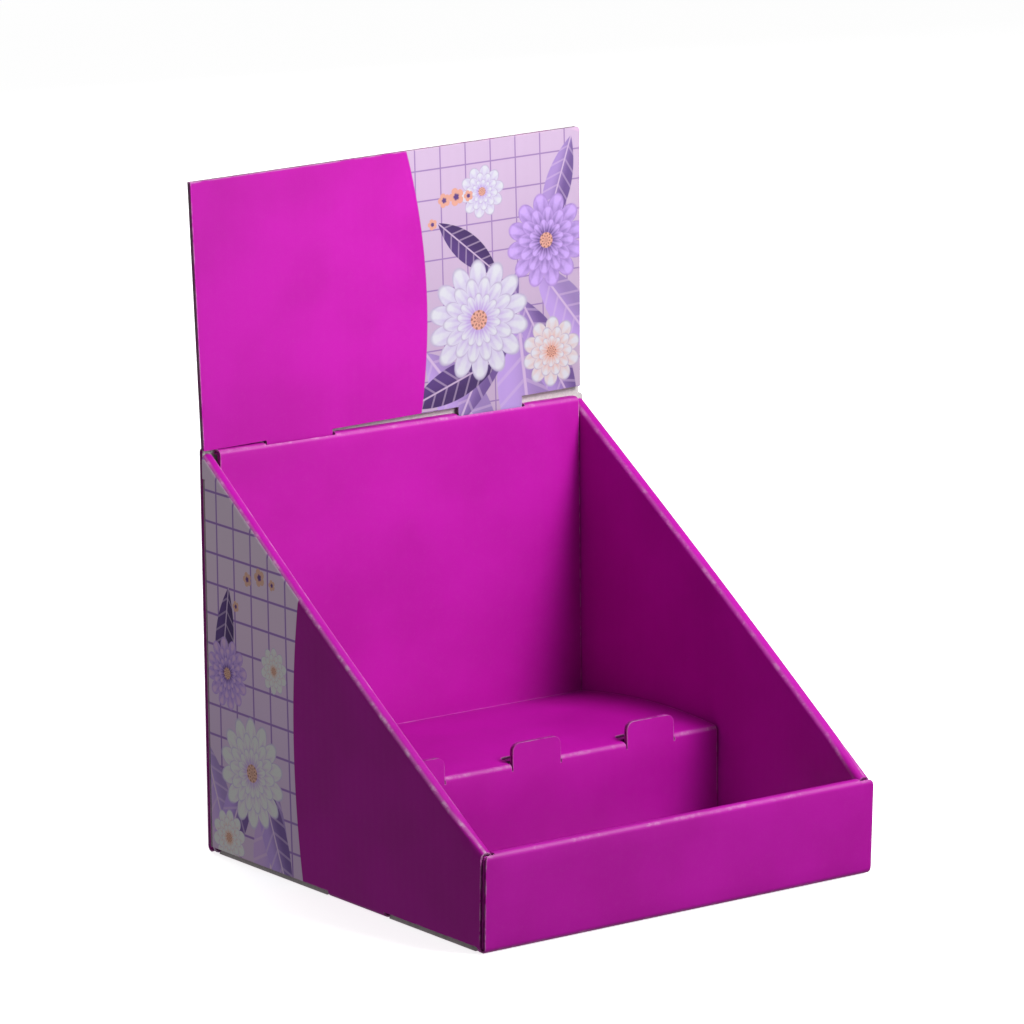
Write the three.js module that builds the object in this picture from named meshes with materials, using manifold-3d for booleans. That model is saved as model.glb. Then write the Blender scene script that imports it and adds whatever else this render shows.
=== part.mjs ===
// Counter display box of corrugated card: a folded tray with rolled-over walls, a stepped insert
// and a header card that stands in the insert's ledge. Millimetres, +Z up, front towards -Y.
// The origin is the middle of the base's underside.

import * as THREE from 'three';
import { mergeVertices } from 'three/addons/utils/BufferGeometryUtils.js';
import Module from 'manifold-3d';

const wasm = await Module();
wasm.setup();

// The board and its bends
const board = 2.8;
const foldRadius = 0.4;
const cutCornerRadius = 2.6;

// The tray
const trayWidth = 250;
const trayDepth = 253;
const frontHeight = 52;
const sideHeight = 216.5;
const wallThickness = 7.4;
const frontWallWidth = 248.8;
const frontWallShift = 0.9;
const frontLean = 2.3;
const leftWallBow = 2.2;
const rightWallBow = 1.5;
const backWallWidth = 248.6;
const backShoulderHeight = 219.6;
const backRiserWidth = 243;
const backRiserHeight = 226;

// Clearances: cut edges side by side, a piece and its seat, the header between two panels
const slit = 0.4;
const seat = 0.3;
const headerPlay = 0.4;

// Slots along the side folds, from the front, and the locking tabs that drop through them
const foldSlots = [{ from: 5, to: 87 }, { from: 138, to: 246 }];
const slotEndPlay = 2;
const lockCorner = 4;
const groundGap = 0.2;

// Locking tabs of the front wall
const frontLockWidth = 34;
const frontLockSpacing = 130;

// Glue flaps from the side walls onto the back wall
const glueFlapWidth = 22;
const glueFlapHeight = 203;

// The stepped insert
const stepDepth = 122.8;
const stepFrontHeight = 57.2;
const stepBackHeight = 52.8;
const stepArch = 4.2;
const ledgeHeight = 218.6;
const footDepth = 26;
const cutShift = -2.5;

// The stops cut from the step's top, which stand up along its front crease
const stopCount = 3;
const stopPitch = 75;
const stopWidth = 31;
const stopHeight = 12.8;
const stopCorner = 7;
const stopCutGap = 0.6;

// The header card
const headerHeight = 143.8;
const headerBottomWidth = 245.8;
const headerTopWidth = 251.7;
const headerTurn = THREE.MathUtils.degToRad(1.23);
const headerLean = THREE.MathUtils.degToRad(0.64);
const headerCorner = 2.3;
const headerTabSpacing = 124.6;
const headerTabWidth = 42.3;
const headerTabDepth = 18;
const headerTabCorner = 3;
const notchPlayLeft = 2;
const notchPlayRight = 0.8;
const notchLip = 1;

// Flat facets: in a bend, up a wall, along a wall and over the arch
const bendFacets = 4;
const legFacets = 5;
const wallFacets = 16;
const archFacets = 12;

// Turns below this many radians belong to a curve and get no bend of their own
const smoothTurn = 0.2;

// How far a cutter reaches past what it cuts
const past = 2;

// Places that follow from the sizes
const sideX = trayWidth / 2;
const innerX = sideX - wallThickness;
const frontY = -trayDepth / 2;
const backY = trayDepth / 2;
const backFace = backY - board;
const sideEndY = backFace - seat;
const insertRearFace = backFace - board - 2 * headerPlay;
const insertFace = insertRearFace - board;
const insertX = innerX - slit;
const stepFaceY = insertFace - stepDepth;
const innerFrontX = sideX - board - slit;
const slopeRise = (sideHeight - frontHeight) / (sideEndY - frontY);
const slopeStretch = Math.hypot(1, slopeRise);

// Solids and outlines

function solidOf(geometry) {
  const bare = geometry.clone();
  bare.deleteAttribute('normal');
  bare.deleteAttribute('uv');
  const merged = mergeVertices(bare, 1e-5);
  const mesh = new wasm.Mesh({
    numProp: 3,
    vertProperties: new Float32Array(merged.attributes.position.array),
    triVerts: new Uint32Array(merged.index.array),
  });
  return new wasm.Manifold(mesh);
}

function geometryOf(solid) {
  const mesh = solid.getMesh();
  const geometry = new THREE.BufferGeometry();
  geometry.setAttribute('position', new THREE.BufferAttribute(mesh.vertProperties, 3));
  geometry.setIndex(new THREE.BufferAttribute(mesh.triVerts, 1));
  geometry.computeVertexNormals();
  return geometry;
}

function joined(solids) {
  return solids.reduce((whole, next) => whole.add(next));
}

function block(x0, x1, y0, y1, z0, z1) {
  const box = new THREE.BoxGeometry(x1 - x0, y1 - y0, z1 - z0);
  return box.translate((x0 + x1) / 2, (y0 + y1) / 2, (z0 + z1) / 2);
}

// A (u, v) outline extruded along X as (y, z), along Y as (x, z) or along Z as (x, y)
function extruded(shape, axis, from, to) {
  const depth = to - from;
  const settings = { depth, bevelEnabled: false, curveSegments: bendFacets };
  const geometry = new THREE.ExtrudeGeometry(shape, settings);
  const turns = {
    x: [0, 0, 1, from, 1, 0, 0, 0, 0, 1, 0, 0],
    y: [1, 0, 0, 0, 0, 0, -1, to, 0, 1, 0, 0],
    z: [1, 0, 0, 0, 0, 1, 0, 0, 0, 0, 1, from],
  };
  return geometry.applyMatrix4(new THREE.Matrix4().set(...turns[axis], 0, 0, 0, 1));
}

// An outline through [u, v, radius] corners, each rounded by its own radius
function roundedOutline(corners) {
  const shape = new THREE.Shape();
  corners.forEach(([u, v, radius], i) => {
    const corner = new THREE.Vector2(u, v);
    const before = corners.at(i - 1);
    const after = corners[(i + 1) % corners.length];
    const back = new THREE.Vector2(before[0], before[1]).sub(corner).setLength(radius);
    const ahead = new THREE.Vector2(after[0], after[1]).sub(corner).setLength(radius);
    const start = corner.clone().add(back);
    const end = corner.clone().add(ahead);
    if (i === 0) {
      shape.moveTo(start.x, start.y);
    } else {
      shape.lineTo(start.x, start.y);
    }
    if (radius > 0) {
      shape.quadraticCurveTo(u, v, end.x, end.y);
    }
  });
  shape.closePath();
  return shape;
}

// The outline of a board that follows a folded line, with a round bend at each corner
function foldedOutline(corners) {
  const line = corners.map(([u, v]) => new THREE.Vector2(u, v));
  const middleRadius = foldRadius + board / 2;
  const samples = line.flatMap((corner, i) => {
    const into = i > 0 ? corner.clone().sub(line[i - 1]).normalize() : null;
    const out = i < line.length - 1 ? line[i + 1].clone().sub(corner).normalize() : null;
    const turn = into && out ? Math.atan2(into.cross(out), into.dot(out)) : 0;
    if (Math.abs(turn) < smoothTurn) {
      const way = new THREE.Vector2().add(into ?? out).add(out ?? into).normalize();
      return [{ point: corner, normal: new THREE.Vector2(-way.y, way.x) }];
    }
    const side = Math.sign(turn);
    const normal = new THREE.Vector2(-into.y, into.x);
    const start = corner.clone().addScaledVector(into, -middleRadius * Math.tan(Math.abs(turn) / 2));
    const centre = start.addScaledVector(normal, side * middleRadius);
    return Array.from({ length: bendFacets + 1 }, (_, k) => {
      const turned = normal.clone().rotateAround(new THREE.Vector2(), turn * k / bendFacets);
      return { point: centre.clone().addScaledVector(turned, -side * middleRadius), normal: turned };
    });
  });
  const offset = (by) => samples.map(({ point, normal }) => point.clone().addScaledVector(normal, by));
  return [...offset(board / 2), ...offset(-board / 2).reverse()];
}

// Evenly spaced heights between two ends, without the ends themselves
function between(from, to, count) {
  return Array.from({ length: count - 1 }, (_, k) => from + (to - from) * (k + 1) / count);
}

// A closed skin through rings of equal count that each lie across Y, from the front to the back
function loft(rings) {
  const count = rings[0].length;
  const faces = [];
  for (let r = 0; r < rings.length - 1; r += 1) {
    for (let i = 0; i < count; i += 1) {
      const a = r * count + i;
      const b = r * count + (i + 1) % count;
      faces.push(a, b, b + count, a, b + count, a + count);
    }
  }
  const cap = (ring) => THREE.ShapeUtils.triangulateShape(ring.map((p) => new THREE.Vector2(p.x, p.z)), []);
  const last = (rings.length - 1) * count;
  cap(rings[0]).forEach(([a, b, c]) => faces.push(a, b, c));
  cap(rings.at(-1)).forEach(([a, b, c]) => faces.push(last + a, last + c, last + b));
  const geometry = new THREE.BufferGeometry().setFromPoints(rings.flat());
  geometry.setIndex(faces);
  return geometry;
}

// The tray: one folded sheet

// The front wall tips forward from its bottom fold
function leaned(geometry) {
  const position = geometry.attributes.position;
  for (let i = 0; i < position.count; i += 1) {
    position.setY(i, position.getY(i) - frontLean * position.getZ(i) / frontHeight);
  }
  return geometry;
}

function base() {
  return solidOf(block(-innerX, innerX, frontY + wallThickness, backFace, 0, board));
}

function frontWall() {
  const outer = frontY + board / 2;
  const inner = frontY + wallThickness - board / 2;
  const ends = [frontWallShift - frontWallWidth / 2, frontWallShift + frontWallWidth / 2];
  const roll = extruded(new THREE.Shape(foldedOutline([
    [frontY + 2 * wallThickness, board / 2],
    [outer, board / 2],
    [outer, frontHeight - board / 2],
    [inner, frontHeight - board / 2],
    [inner, board + seat],
  ])), 'x', ...ends);
  const face = roundedOutline([
    [ends[0], 0, cutCornerRadius],
    [ends[1], 0, cutCornerRadius],
    [ends[1], frontHeight, cutCornerRadius],
    [ends[0], frontHeight, cutCornerRadius],
  ]);
  const faceCut = extruded(face, 'y', frontY - frontLean - past, frontY + 3 * wallThickness);
  const sideGaps = [-1, 1].map((side) => {
    const x = [side * innerFrontX, side * (sideX + past)].sort((a, b) => a - b);
    const y = [frontY + board + slit / 2, frontY + wallThickness + past];
    return solidOf(leaned(block(...x, ...y, board, frontHeight - board - slit / 2)));
  });
  return solidOf(leaned(roll)).intersect(solidOf(faceCut)).subtract(joined(sideGaps));
}

function slopeHeight(y) {
  return frontHeight + (y - frontY) * slopeRise;
}

// Section of a rolled side wall: up from the base, over the sloping top and down inside
function sideSection(y) {
  const top = slopeHeight(y);
  const rollStart = top - 2 * board;
  const outer = sideX - board / 2;
  const inner = innerX + board / 2;
  const bottom = board + seat;
  const section = foldedOutline([
    [innerX - board, board / 2],
    [outer, board / 2],
    ...between(bottom, rollStart, legFacets).map((z) => [outer, z]),
    [outer, rollStart],
    [outer, top - board / 2],
    [inner, top - board / 2],
    [inner, rollStart],
    ...between(rollStart, bottom, legFacets).map((z) => [inner, z]),
    [inner, bottom],
  ]);
  return section.map(({ x, y: z }) => ({ x, z: z > rollStart ? top - (top - z) * slopeStretch : z }));
}

function sideWall(side, bow) {
  const rings = Array.from({ length: wallFacets + 1 }, (_, k) => {
    const along = k / wallFacets;
    const y = frontY + (sideEndY - frontY) * along;
    const ring = sideSection(y).map(({ x, z }) => {
      const up = Math.sin(Math.PI / 2 * Math.min(1, z / slopeHeight(y)));
      return new THREE.Vector3(side * (x + bow * Math.sin(Math.PI * along) * up), y, z);
    });
    return side > 0 ? ring : ring.reverse();
  });
  return solidOf(loft(rings)).subtract(sideWallCuts(side)).add(glueFlap(side));
}

// Room for the front wall's outer face, for its roll, and for the glue flap's fold
function sideWallCuts(side) {
  const across = (x0, x1) => [side * x0, side * x1].sort((a, b) => a - b);
  const outerFace = frontY + board + slit;
  const rollFace = frontY + wallThickness + slit;
  const high = frontHeight + past;
  const wide = across(0, sideX + past);
  const flapY = sideEndY - board - slit;
  return joined([
    solidOf(leaned(block(...wide, frontY - past, outerFace, -past, high))),
    solidOf(leaned(block(...across(0, sideX - board), frontY - past, rollFace, board, high))),
    solidOf(leaned(block(...wide, frontY - past, rollFace, frontHeight - board - slit / 2, high))),
    solidOf(block(...wide, flapY, sideEndY + past, board, glueFlapHeight + slit)),
  ]);
}

function glueFlap(side) {
  const outer = side * (sideX - board / 2);
  const flapY = sideEndY - board / 2;
  const outline = foldedOutline([
    [outer, sideEndY - 3 * board],
    [outer, flapY],
    [side * (sideX - glueFlapWidth), flapY],
  ]);
  return solidOf(extruded(new THREE.Shape(outline), 'z', board + seat, glueFlapHeight));
}

function backWall() {
  const fold = extruded(new THREE.Shape(foldedOutline([
    [backFace - 2 * board, board / 2],
    [backY - board / 2, board / 2],
    [backY - board / 2, 3 * board],
  ])), 'x', -backWallWidth / 2, backWallWidth / 2);
  const wide = backWallWidth / 2;
  const riser = backRiserWidth / 2;
  const panel = roundedOutline([
    [-wide, 2 * board, 0],
    [wide, 2 * board, 0],
    [wide, backShoulderHeight, cutCornerRadius],
    [riser, backShoulderHeight, 0],
    [riser, backRiserHeight, cutCornerRadius],
    [-riser, backRiserHeight, cutCornerRadius],
    [-riser, backShoulderHeight, 0],
    [-wide, backShoulderHeight, cutCornerRadius],
  ]);
  return solidOf(fold).add(solidOf(extruded(panel, 'y', backFace, backY)));
}

// The fold is cut away at each slot, and the inner wall's locking tab drops through it
function sideLocks(side) {
  const across = [side * (innerX - slit), side * (sideX + past)].sort((a, b) => a - b);
  const slots = foldSlots.map(({ from, to }) => (
    solidOf(block(...across, frontY + from, frontY + to, -past, board))
  ));
  const thick = [side * innerX, side * (innerX + board)].sort((a, b) => a - b);
  const tabs = foldSlots.map(({ from, to }) => solidOf(extruded(roundedOutline([
    [frontY + from + slotEndPlay, groundGap, lockCorner / 2],
    [frontY + to - slotEndPlay, groundGap, lockCorner / 2],
    [frontY + to - slotEndPlay, 2 * board, 0],
    [frontY + from + slotEndPlay, 2 * board, 0],
  ]), 'x', ...thick)));
  return { slots, tabs };
}

function frontLocks() {
  const inner = [frontY + wallThickness - board, frontY + wallThickness];
  const centres = [-frontLockSpacing / 2, frontLockSpacing / 2];
  const wide = frontLockWidth / 2;
  const slots = centres.map((x) => (
    solidOf(block(x - wide - slit, x + wide + slit, inner[0] - slit, inner[1] + slit, -past, board))
  ));
  const tabs = centres.map((x) => solidOf(leaned(extruded(roundedOutline([
    [x - wide, groundGap, lockCorner / 2],
    [x + wide, groundGap, lockCorner / 2],
    [x + wide, 2 * board, 0],
    [x - wide, 2 * board, 0],
  ]), 'y', ...inner))));
  return { slots, tabs };
}

function displayTray() {
  const walls = [frontWall(), sideWall(-1, leftWallBow), sideWall(1, rightWallBow), backWall()];
  const sheet = joined([base(), ...walls]);
  const locks = [sideLocks(-1), sideLocks(1), frontLocks()];
  const slots = joined(locks.flatMap((lock) => lock.slots));
  const tabs = joined(locks.flatMap((lock) => lock.tabs));
  return sheet.subtract(slots).add(tabs);
}

// The stepped insert: one folded sheet

function insertSheet() {
  const footZ = board + seat + board / 2;
  const front = [stepFaceY + board / 2, stepFrontHeight - board / 2];
  const back = [insertFace + board / 2, stepBackHeight - board / 2];
  const arch = between(0, 1, archFacets).map((t) => [
    front[0] + (back[0] - front[0]) * t,
    front[1] + (back[1] - front[1]) * t + 4 * stepArch * t * (1 - t),
  ]);
  const outline = foldedOutline([
    [stepFaceY + footDepth, footZ],
    [front[0], footZ],
    front,
    ...arch,
    back,
    [back[0], ledgeHeight - board / 2],
    [sideEndY, ledgeHeight - board / 2],
  ]);
  return solidOf(extruded(new THREE.Shape(outline), 'x', -insertX, insertX));
}

function stopCentres() {
  return Array.from({ length: stopCount }, (_, i) => cutShift + (i - (stopCount - 1) / 2) * stopPitch);
}

function stopHole(x) {
  const wide = stopWidth / 2 + stopCutGap;
  const rear = stepFaceY + board / 2 + stopHeight + stopCutGap;
  return solidOf(extruded(roundedOutline([
    [x - wide, stepFaceY - past, 0],
    [x + wide, stepFaceY - past, 0],
    [x + wide, rear, stopCorner],
    [x - wide, rear, stopCorner],
  ]), 'z', stepFrontHeight - board - 2 * foldRadius, stepFrontHeight + stepArch + past));
}

function stop(x) {
  const wide = stopWidth / 2;
  return solidOf(extruded(roundedOutline([
    [x - wide, stepFrontHeight - 3 * board, 0],
    [x + wide, stepFrontHeight - 3 * board, 0],
    [x + wide, stepFrontHeight + stopHeight, stopCorner],
    [x - wide, stepFrontHeight + stopHeight, stopCorner],
  ]), 'y', stepFaceY, stepFaceY + board));
}

function headerNotch(side) {
  const x = cutShift + side * headerTabSpacing / 2;
  const left = x - headerTabWidth / 2 - notchPlayLeft;
  const right = x + headerTabWidth / 2 + notchPlayRight;
  const low = ledgeHeight - 2 * board;
  return solidOf(block(left, right, insertFace + notchLip, backFace + past, low, ledgeHeight + past));
}

function stepInsert() {
  const centres = stopCentres();
  const holes = [...centres.map(stopHole), headerNotch(-1), headerNotch(1)];
  return insertSheet().subtract(joined(holes)).add(joined(centres.map(stop)));
}

// The header card: a flat board whose two tabs stand behind the insert's inner wall

function headerOutline() {
  const bottom = headerBottomWidth / 2;
  const top = headerTopWidth / 2;
  const tabs = [-1, 1].map((side) => {
    const middle = side * headerTabSpacing / 2;
    return [
      [middle - headerTabWidth / 2, 0, 0],
      [middle - headerTabWidth / 2, -headerTabDepth, headerTabCorner],
      [middle + headerTabWidth / 2, -headerTabDepth, headerTabCorner],
      [middle + headerTabWidth / 2, 0, 0],
    ];
  });
  return roundedOutline([
    [-bottom, 0, board / 8],
    ...tabs.flat(),
    [bottom, 0, board / 8],
    [top, headerHeight, headerCorner],
    [-top, headerHeight, board / 8],
  ]);
}

function headerCard() {
  return solidOf(extruded(headerOutline(), 'y', -board / 2, board / 2));
}

function placeHeader(mesh) {
  const middleY = (insertRearFace + backFace) / 2;
  const lift = ledgeHeight + seat + Math.tan(headerTurn) * (insertX + cutShift);
  mesh.rotation.set(headerLean, -headerTurn, 0);
  mesh.position.set(cutShift, middleY - Math.tan(headerLean) * headerTabDepth / 2, lift);
}

function piece(name, solid, color, roughness) {
  const material = new THREE.MeshStandardMaterial({ color, roughness, metalness: 0 });
  const mesh = new THREE.Mesh(geometryOf(solid), material);
  mesh.name = name;
  return mesh;
}

const displayBox = new THREE.Group();
displayBox.add(piece('display_tray', displayTray(), 0xa3168c, 0.45));
displayBox.add(piece('step_insert', stepInsert(), 0xb01a9b, 0.4));

const header = piece('header_card', headerCard(), 0xcb1bb9, 0.45);
placeHeader(header);
displayBox.add(header);

export default displayBox;
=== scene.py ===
"""Counter display box: three sheets of corrugated card, cut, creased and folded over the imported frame."""

import math
from bisect import bisect_right

import bpy
from bpy.props import FloatProperty, FloatVectorProperty, IntProperty, PointerProperty
from mathutils import Matrix, Vector
from mathutils.geometry import delaunay_2d_cdt


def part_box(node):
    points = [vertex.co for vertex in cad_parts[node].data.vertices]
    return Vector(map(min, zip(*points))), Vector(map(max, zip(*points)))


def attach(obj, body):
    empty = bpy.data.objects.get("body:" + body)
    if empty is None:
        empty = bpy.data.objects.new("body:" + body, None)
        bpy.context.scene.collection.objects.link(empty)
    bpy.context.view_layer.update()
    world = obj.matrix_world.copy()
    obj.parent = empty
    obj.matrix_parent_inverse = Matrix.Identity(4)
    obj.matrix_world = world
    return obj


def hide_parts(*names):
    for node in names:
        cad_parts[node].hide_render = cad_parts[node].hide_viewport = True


bl_info = {
    "name": "Counter display box",
    "version": (1, 0, 0),
    "blender": (4, 5, 0),
    "location": "3D View > Sidebar > Display Box",
    "description": "Builds the tray, insert and header card of a folded counter display box",
    "category": "Add Mesh",
}

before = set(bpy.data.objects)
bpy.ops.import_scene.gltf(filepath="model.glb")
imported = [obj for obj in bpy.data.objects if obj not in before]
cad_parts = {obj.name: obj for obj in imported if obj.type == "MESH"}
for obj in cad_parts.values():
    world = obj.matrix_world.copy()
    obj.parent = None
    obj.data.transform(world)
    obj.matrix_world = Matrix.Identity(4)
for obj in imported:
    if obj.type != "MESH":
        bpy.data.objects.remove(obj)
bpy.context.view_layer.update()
_, TRAY_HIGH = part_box("display_tray")
MM = 0.001


# Sizes of the smaller cuts
SLIP, PLAY = 0.3 * MM, 0.4 * MM             # clearances between faces that touch, and beside edges
NEAR = 1e-5
BEND_STEPS, ROLL_STEPS = 6, 18
SIDE_SLOTS = ((5 * MM, 87 * MM), (138 * MM, 246 * MM))      # along each side fold, from the front
TAB_SPLAY = 1.1                             # how far the side walls' tabs stand out in their slots
FLAP_TOP, FLAP_WIDTH = 203.4 * MM, 22 * MM  # the glue flaps
FRONT_TABS, FRONT_TAB = (65 * MM, -65 * MM), 17 * MM        # middles and half width of the front wall's tabs
OUTER_EDGE, OUTER_SHIFT = 124.4 * MM, 0.9 * MM              # the front wall's face, a little to the right
BACK_EDGE, BACK_RISER = 124.3 * MM, 121.5 * MM              # half widths of the back wall, below and above
BASE_SEAM = 0.1219                          # half the length of the base's front and back folds
MIDDLE = -2.5 * MM                          # the header and the stops sit a little to the left
HEADER_TABS, HEADER_TAB, HEADER_TAB_DEPTH = 62.3 * MM, 21.15 * MM, 18 * MM      # middles, half width, depth
NOTCH_RIGHT, NOTCH_LEFT = 21.95 * MM, 23.15 * MM            # from a header tab's middle to its notch's ends
HALF_DEPTH, RIB_PITCH = 1.265, 0.064        # of the tray and of the flutes, in the prints' decimetres


# Sizes and colours that a user would change

def length(name, description, default):
    return FloatProperty(name=name, description=description, default=default, min=0, precision=5,
                         subtype="DISTANCE", unit="LENGTH")


def angle(name, description, degrees):
    return FloatProperty(name=name, description=description, default=math.radians(degrees),
                         subtype="ANGLE", unit="ROTATION")


def colour(name, description, default):
    return FloatVectorProperty(name=name, description=description, default=default, size=3,
                               min=0, max=1, subtype="COLOR")


class BoxSizes(bpy.types.PropertyGroup):
    board: length("Board", "Thickness of the corrugated board", 2.8 * MM)
    bend: length("Bend radius", "Radius of a fold at the middle of the board", 1.8 * MM)
    width: length("Width", "Outside width over the side walls", 250 * MM)
    depth: length("Depth", "Outside depth at the base", TRAY_HIGH.y * 2)
    front_height: length("Front height", "Height of the rolled front wall", 52 * MM)
    side_height: length("Side height", "Height of the side walls at the back", 216.5 * MM)
    roll: length("Wall thickness", "Thickness of a rolled-over wall", 7.4 * MM)
    back_height: length("Back height", "Height of the back wall's middle", TRAY_HIGH.z)
    shoulder: length("Back shoulder", "Height of the back wall's two shoulders", 219.6 * MM)
    lean: length("Front lean", "How far the front wall tips forward at its top", 2.3 * MM)
    left_bow: length("Left bow", "How far the left wall bows out", 2.2 * MM)
    right_bow: length("Right bow", "How far the right wall bows out", 1.5 * MM)
    step_depth: length("Step depth", "Depth of the raised step", 122.8 * MM)
    step_front: length("Step front height", "Height of the step at its front crease", 57.2 * MM)
    step_back: length("Step back height", "Height of the step at its back", 52.8 * MM)
    step_arch: length("Step arch", "How far the step's top bows up", 4.2 * MM)
    ledge: length("Ledge height", "Height of the ledge that holds the header", 218.6 * MM)
    stop_pitch: length("Stop pitch", "Distance between the product stops", 75 * MM)
    stop_width: length("Stop width", "Width of a product stop", 31 * MM)
    stop_height: length("Stop height", "Height of a product stop above the step", 11 * MM)
    header_height: length("Header height", "Height of the header card above the ledge", 143.8 * MM)
    header_top: length("Header top width", "Width of the header card at its top", 251.7 * MM)
    header_foot: length("Header bottom width", "Width of the header card at its bottom", 245.8 * MM)
    header_turn: angle("Header turn", "How far the header card is turned in its notches", 1.23)
    header_lean: angle("Header lean", "How far the header card tips forward", 0.64)
    flute_pitch: length("Flute pitch", "Distance between the waves of the board's core", 6.4 * MM)
    flute_samples: IntProperty(name="Flute samples", description="Points on each wave of the core",
                               default=8, min=6, max=24)


class BoxColours(bpy.types.PropertyGroup):
    print_body: colour("Print", "The printed magenta", (0.470, 0.0040, 0.362))
    print_deep: colour("Deep print", "Where the ink lies heavier", (0.415, 0.0030, 0.310))
    # Besides the real cracks and torn paper, this colour is painted as a highlight line along every fold.
    crack: colour("Cracked ink", "Paper that shows where the print is cracked", (0.66, 0.42, 0.60))
    ground: colour("Picture ground", "Pale ground of the picture field", (0.60, 0.45, 0.64))
    grid: colour("Picture grid", "Thin lines of the picture field's tiles", (0.23, 0.12, 0.36))
    silver: colour("Silver petals", "The large flowers", (0.62, 0.62, 0.68))
    lilac: colour("Lilac petals", "The smaller flowers and leaves", (0.42, 0.28, 0.62))
    violet: colour("Violet leaves", "The darkest leaves", (0.10, 0.05, 0.20))
    peach: colour("Peach hearts", "Flower hearts and small blossoms", (0.66, 0.33, 0.26))
    liner: colour("Plain liner", "The unprinted inside of the board", (0.55, 0.51, 0.51))
    core: colour("Core", "The fluted paper inside the board", (0.26, 0.20, 0.20))
    floor: colour("Floor", "The pale ground under the box", (0.90, 0.90, 0.90))


# A folded line: points, outward normals and lengths along the middle of a board

class FoldLine:
    def __init__(self, corners, bend, facets=8, smooth=0.2):
        line = [Vector(c) for c in corners]
        self.points, self.normals = [], []
        spans = []
        for i, corner in enumerate(line):
            into = (corner - line[i - 1]).normalized() if i else None
            out = (line[i + 1] - corner).normalized() if i < len(line) - 1 else None
            turn = math.atan2(into.cross(out), into.dot(out)) if into and out else 0
            if abs(turn) < smooth:
                way = ((into or out) + (out or into)).normalized()
                self.add(corner, Vector((-way.y, way.x)))
                continue
            side = math.copysign(1, turn)
            normal = Vector((-into.y, into.x))
            start = corner - into * bend * math.tan(abs(turn) / 2)
            centre = start + normal * side * bend
            first = len(self.points)
            for k in range(facets + 1):
                turned = Matrix.Rotation(turn * k / facets, 2) @ normal
                self.add(centre - turned * side * bend, turned)
            spans.append((first, len(self.points) - 1))
        self.at = [0.0]
        for a, b in zip(self.points, self.points[1:]):
            self.at.append(self.at[-1] + (b - a).length)
        self.bends = [(self.at[a], self.at[b]) for a, b in spans]
        self.length = self.at[-1]

    def add(self, point, normal):
        self.points.append(point)
        self.normals.append(normal)

    def frame(self, s):
        i = min(max(bisect_right(self.at, s) - 1, 0), len(self.at) - 2)
        t = (s - self.at[i]) / (self.at[i + 1] - self.at[i])
        point = self.points[i].lerp(self.points[i + 1], t)
        return point, self.normals[i].lerp(self.normals[i + 1], min(max(t, 0), 1)).normalized()


# A board panel: its flat cut outline is meshed, then folded into place with its back and cut edges

def even(low, high, step):
    count = max(1, round((high - low) / step))
    return [low + (high - low) * k / count for k in range(count + 1)]


def rounded(corners, steps=6):
    """Points of an outline through (u, v, radius) corners."""
    points = []
    for i, (u, v, radius) in enumerate(corners):
        corner = Vector((u, v))
        if radius <= 0:
            points.append(corner)
            continue
        before = Vector(corners[i - 1][:2])
        after = Vector(corners[(i + 1) % len(corners)][:2])
        a = corner + (before - corner).normalized() * radius
        b = corner + (after - corner).normalized() * radius
        for k in range(steps + 1):
            t = k / steps
            points.append(a.lerp(corner, t).lerp(corner.lerp(b, t), t))
    return points


def inside(point, outline):
    hit = False
    for a, b in zip(outline, outline[1:] + outline[:1]):
        if (a.y > point.y) != (b.y > point.y):
            if point.x < a.x + (b.x - a.x) * (point.y - a.y) / (b.y - a.y):
                hit = not hit
    return hit


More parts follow.
